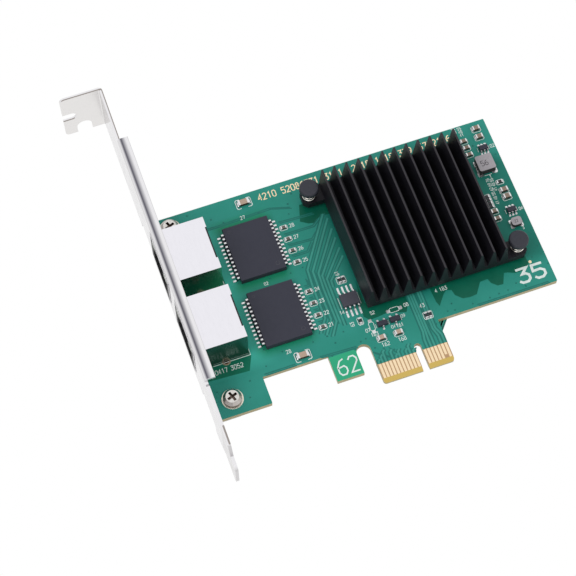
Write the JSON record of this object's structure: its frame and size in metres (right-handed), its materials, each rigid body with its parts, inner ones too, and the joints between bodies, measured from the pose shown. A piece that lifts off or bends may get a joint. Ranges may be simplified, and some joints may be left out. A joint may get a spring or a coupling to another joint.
{
  "type": "network interface card",
  "caption": "Expansion card with shielded network jacks at its slot bracket, isolation transformers, a finned heat sink on spring pins and a gold-plated edge connector.",
  "frame": {"origin": "where the centre line of the edge connector's key slot meets the connector's edge, on the board's component face", "axes": "+X along the board, away from the slot bracket; +Y across the board, away from the edge connector; +Z out of the component face"},
  "size_m": [0.114, 0.1201, 0.0184],
  "materials": {
    "solder_mask": "green solder mask over glass-filled board",
    "gold": "gold plate",
    "bracket_steel": "nickel-plated sheet steel",
    "screw_steel": "nickel-plated steel",
    "black_anodised": "black anodised extrusion",
    "moulding": "black moulding compound",
    "thermal_pad": "soft grey pad",
    "pin_plastic": "dark nylon",
    "spring_steel": "bright spring wire",
    "tinned_metal": "tin plate and solder",
    "inductor_grey": "pressed iron powder",
    "capacitor_ceramic": "beige ceramic",
    "resistor_black": "black glaze",
    "shield_steel": "nickel-plated thin steel",
    "jack_plastic": "black moulded nylon",
    "lamp_plastic": "cloudy light pipe",
    "legend_ink": "white printed ink"
  },
  "bodies": {
    "root": {"bracket": "bracket_steel", "bracket_screws": "screw_steel", "capacitor_bodies": "capacitor_ceramic", "capacitor_ends": "tinned_metal", "circuit_board": "solder_mask", "controller_chip": "moulding", "edge_contacts_back": "gold", "edge_contacts_front": "gold", "heat_sink": "black_anodised", "large_inductor": "inductor_grey", "large_inductor_terminals": "tinned_metal", "left_pin_spring": "spring_steel", "left_push_pin": "pin_plastic", "lower_jack_contacts": "gold", "lower_jack_housing": "jack_plastic", "lower_jack_lamps": "lamp_plastic", "lower_jack_shield": "shield_steel", "lower_transformer": "moulding", "lower_transformer_leads": "tinned_metal", "memory_chip": "moulding", "memory_chip_leads": "tinned_metal", "regulator_leads": "tinned_metal", "regulators": "moulding", "resistor_bodies": "resistor_black", "resistor_ends": "tinned_metal", "right_pin_spring": "spring_steel", "right_push_pin": "pin_plastic", "small_inductor": "inductor_grey", "small_inductor_terminals": "tinned_metal", "thermal_pad": "thermal_pad", "transistor_leads": "tinned_metal", "transistors": "moulding", "upper_jack_contacts": "gold", "upper_jack_housing": "jack_plastic", "upper_jack_lamps": "lamp_plastic", "upper_jack_shield": "shield_steel", "upper_transformer": "moulding", "upper_transformer_leads": "tinned_metal"}
  },
  "joints": []
}
